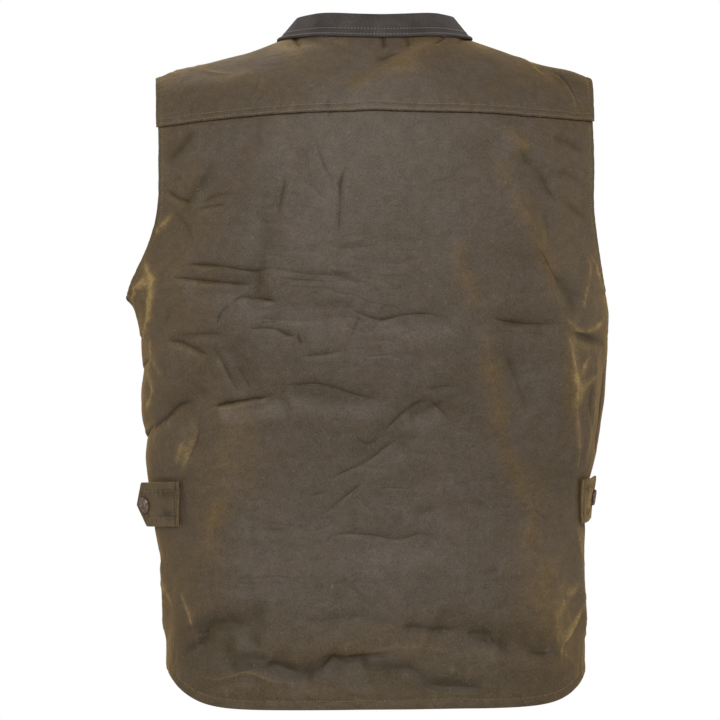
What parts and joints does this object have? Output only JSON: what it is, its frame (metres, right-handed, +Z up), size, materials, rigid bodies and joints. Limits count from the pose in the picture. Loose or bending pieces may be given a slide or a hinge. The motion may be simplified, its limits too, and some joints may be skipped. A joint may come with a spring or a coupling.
{
  "type": "work vest",
  "caption": "Sleeveless work vest of waxed cloth with a back yoke, a stand collar, a snap front and pointed side tabs, filled out as if it were worn.",
  "frame": {"origin": "between the two shoulders, at the height where the shoulder tips rest on the wearer", "axes": "+Z up, -Y towards the front of the vest, +X towards the wearer's left side"},
  "size_m": [0.5039, 0.2901, 0.7082],
  "materials": {
    "back_panel": "waxed cotton, dark brown with golden wear on its ridges",
    "back_yoke": "waxed cotton, dark brown with golden wear on its ridges",
    "front_left": "waxed cotton, dark brown with golden wear on its ridges",
    "front_right": "waxed cotton, dark brown with golden wear on its ridges",
    "collar": "matte charcoal-brown brushed cotton",
    "side_tab_left": "waxed cotton, two layers",
    "side_tab_right": "waxed cotton, two layers",
    "snap_left": "aged copper",
    "snap_right": "aged copper",
    "stud_left": "aged copper",
    "stud_right": "aged copper",
    "snap_front_1": "aged copper",
    "snap_front_2": "aged copper",
    "snap_front_3": "aged copper",
    "snap_front_4": "aged copper",
    "snap_front_5": "aged copper"
  },
  "bodies": {
    "root": {"back_panel": "back_panel", "back_yoke": "back_yoke", "front_left": "front_left", "front_right": "front_right", "collar": "collar", "side_tab_left": "side_tab_left", "side_tab_right": "side_tab_right", "snap_left": "snap_left", "snap_right": "snap_right", "stud_left": "stud_left", "stud_right": "stud_right", "snap_front_1": "snap_front_1", "snap_front_2": "snap_front_2", "snap_front_3": "snap_front_3", "snap_front_4": "snap_front_4", "snap_front_5": "snap_front_5"}
  },
  "joints": []
}
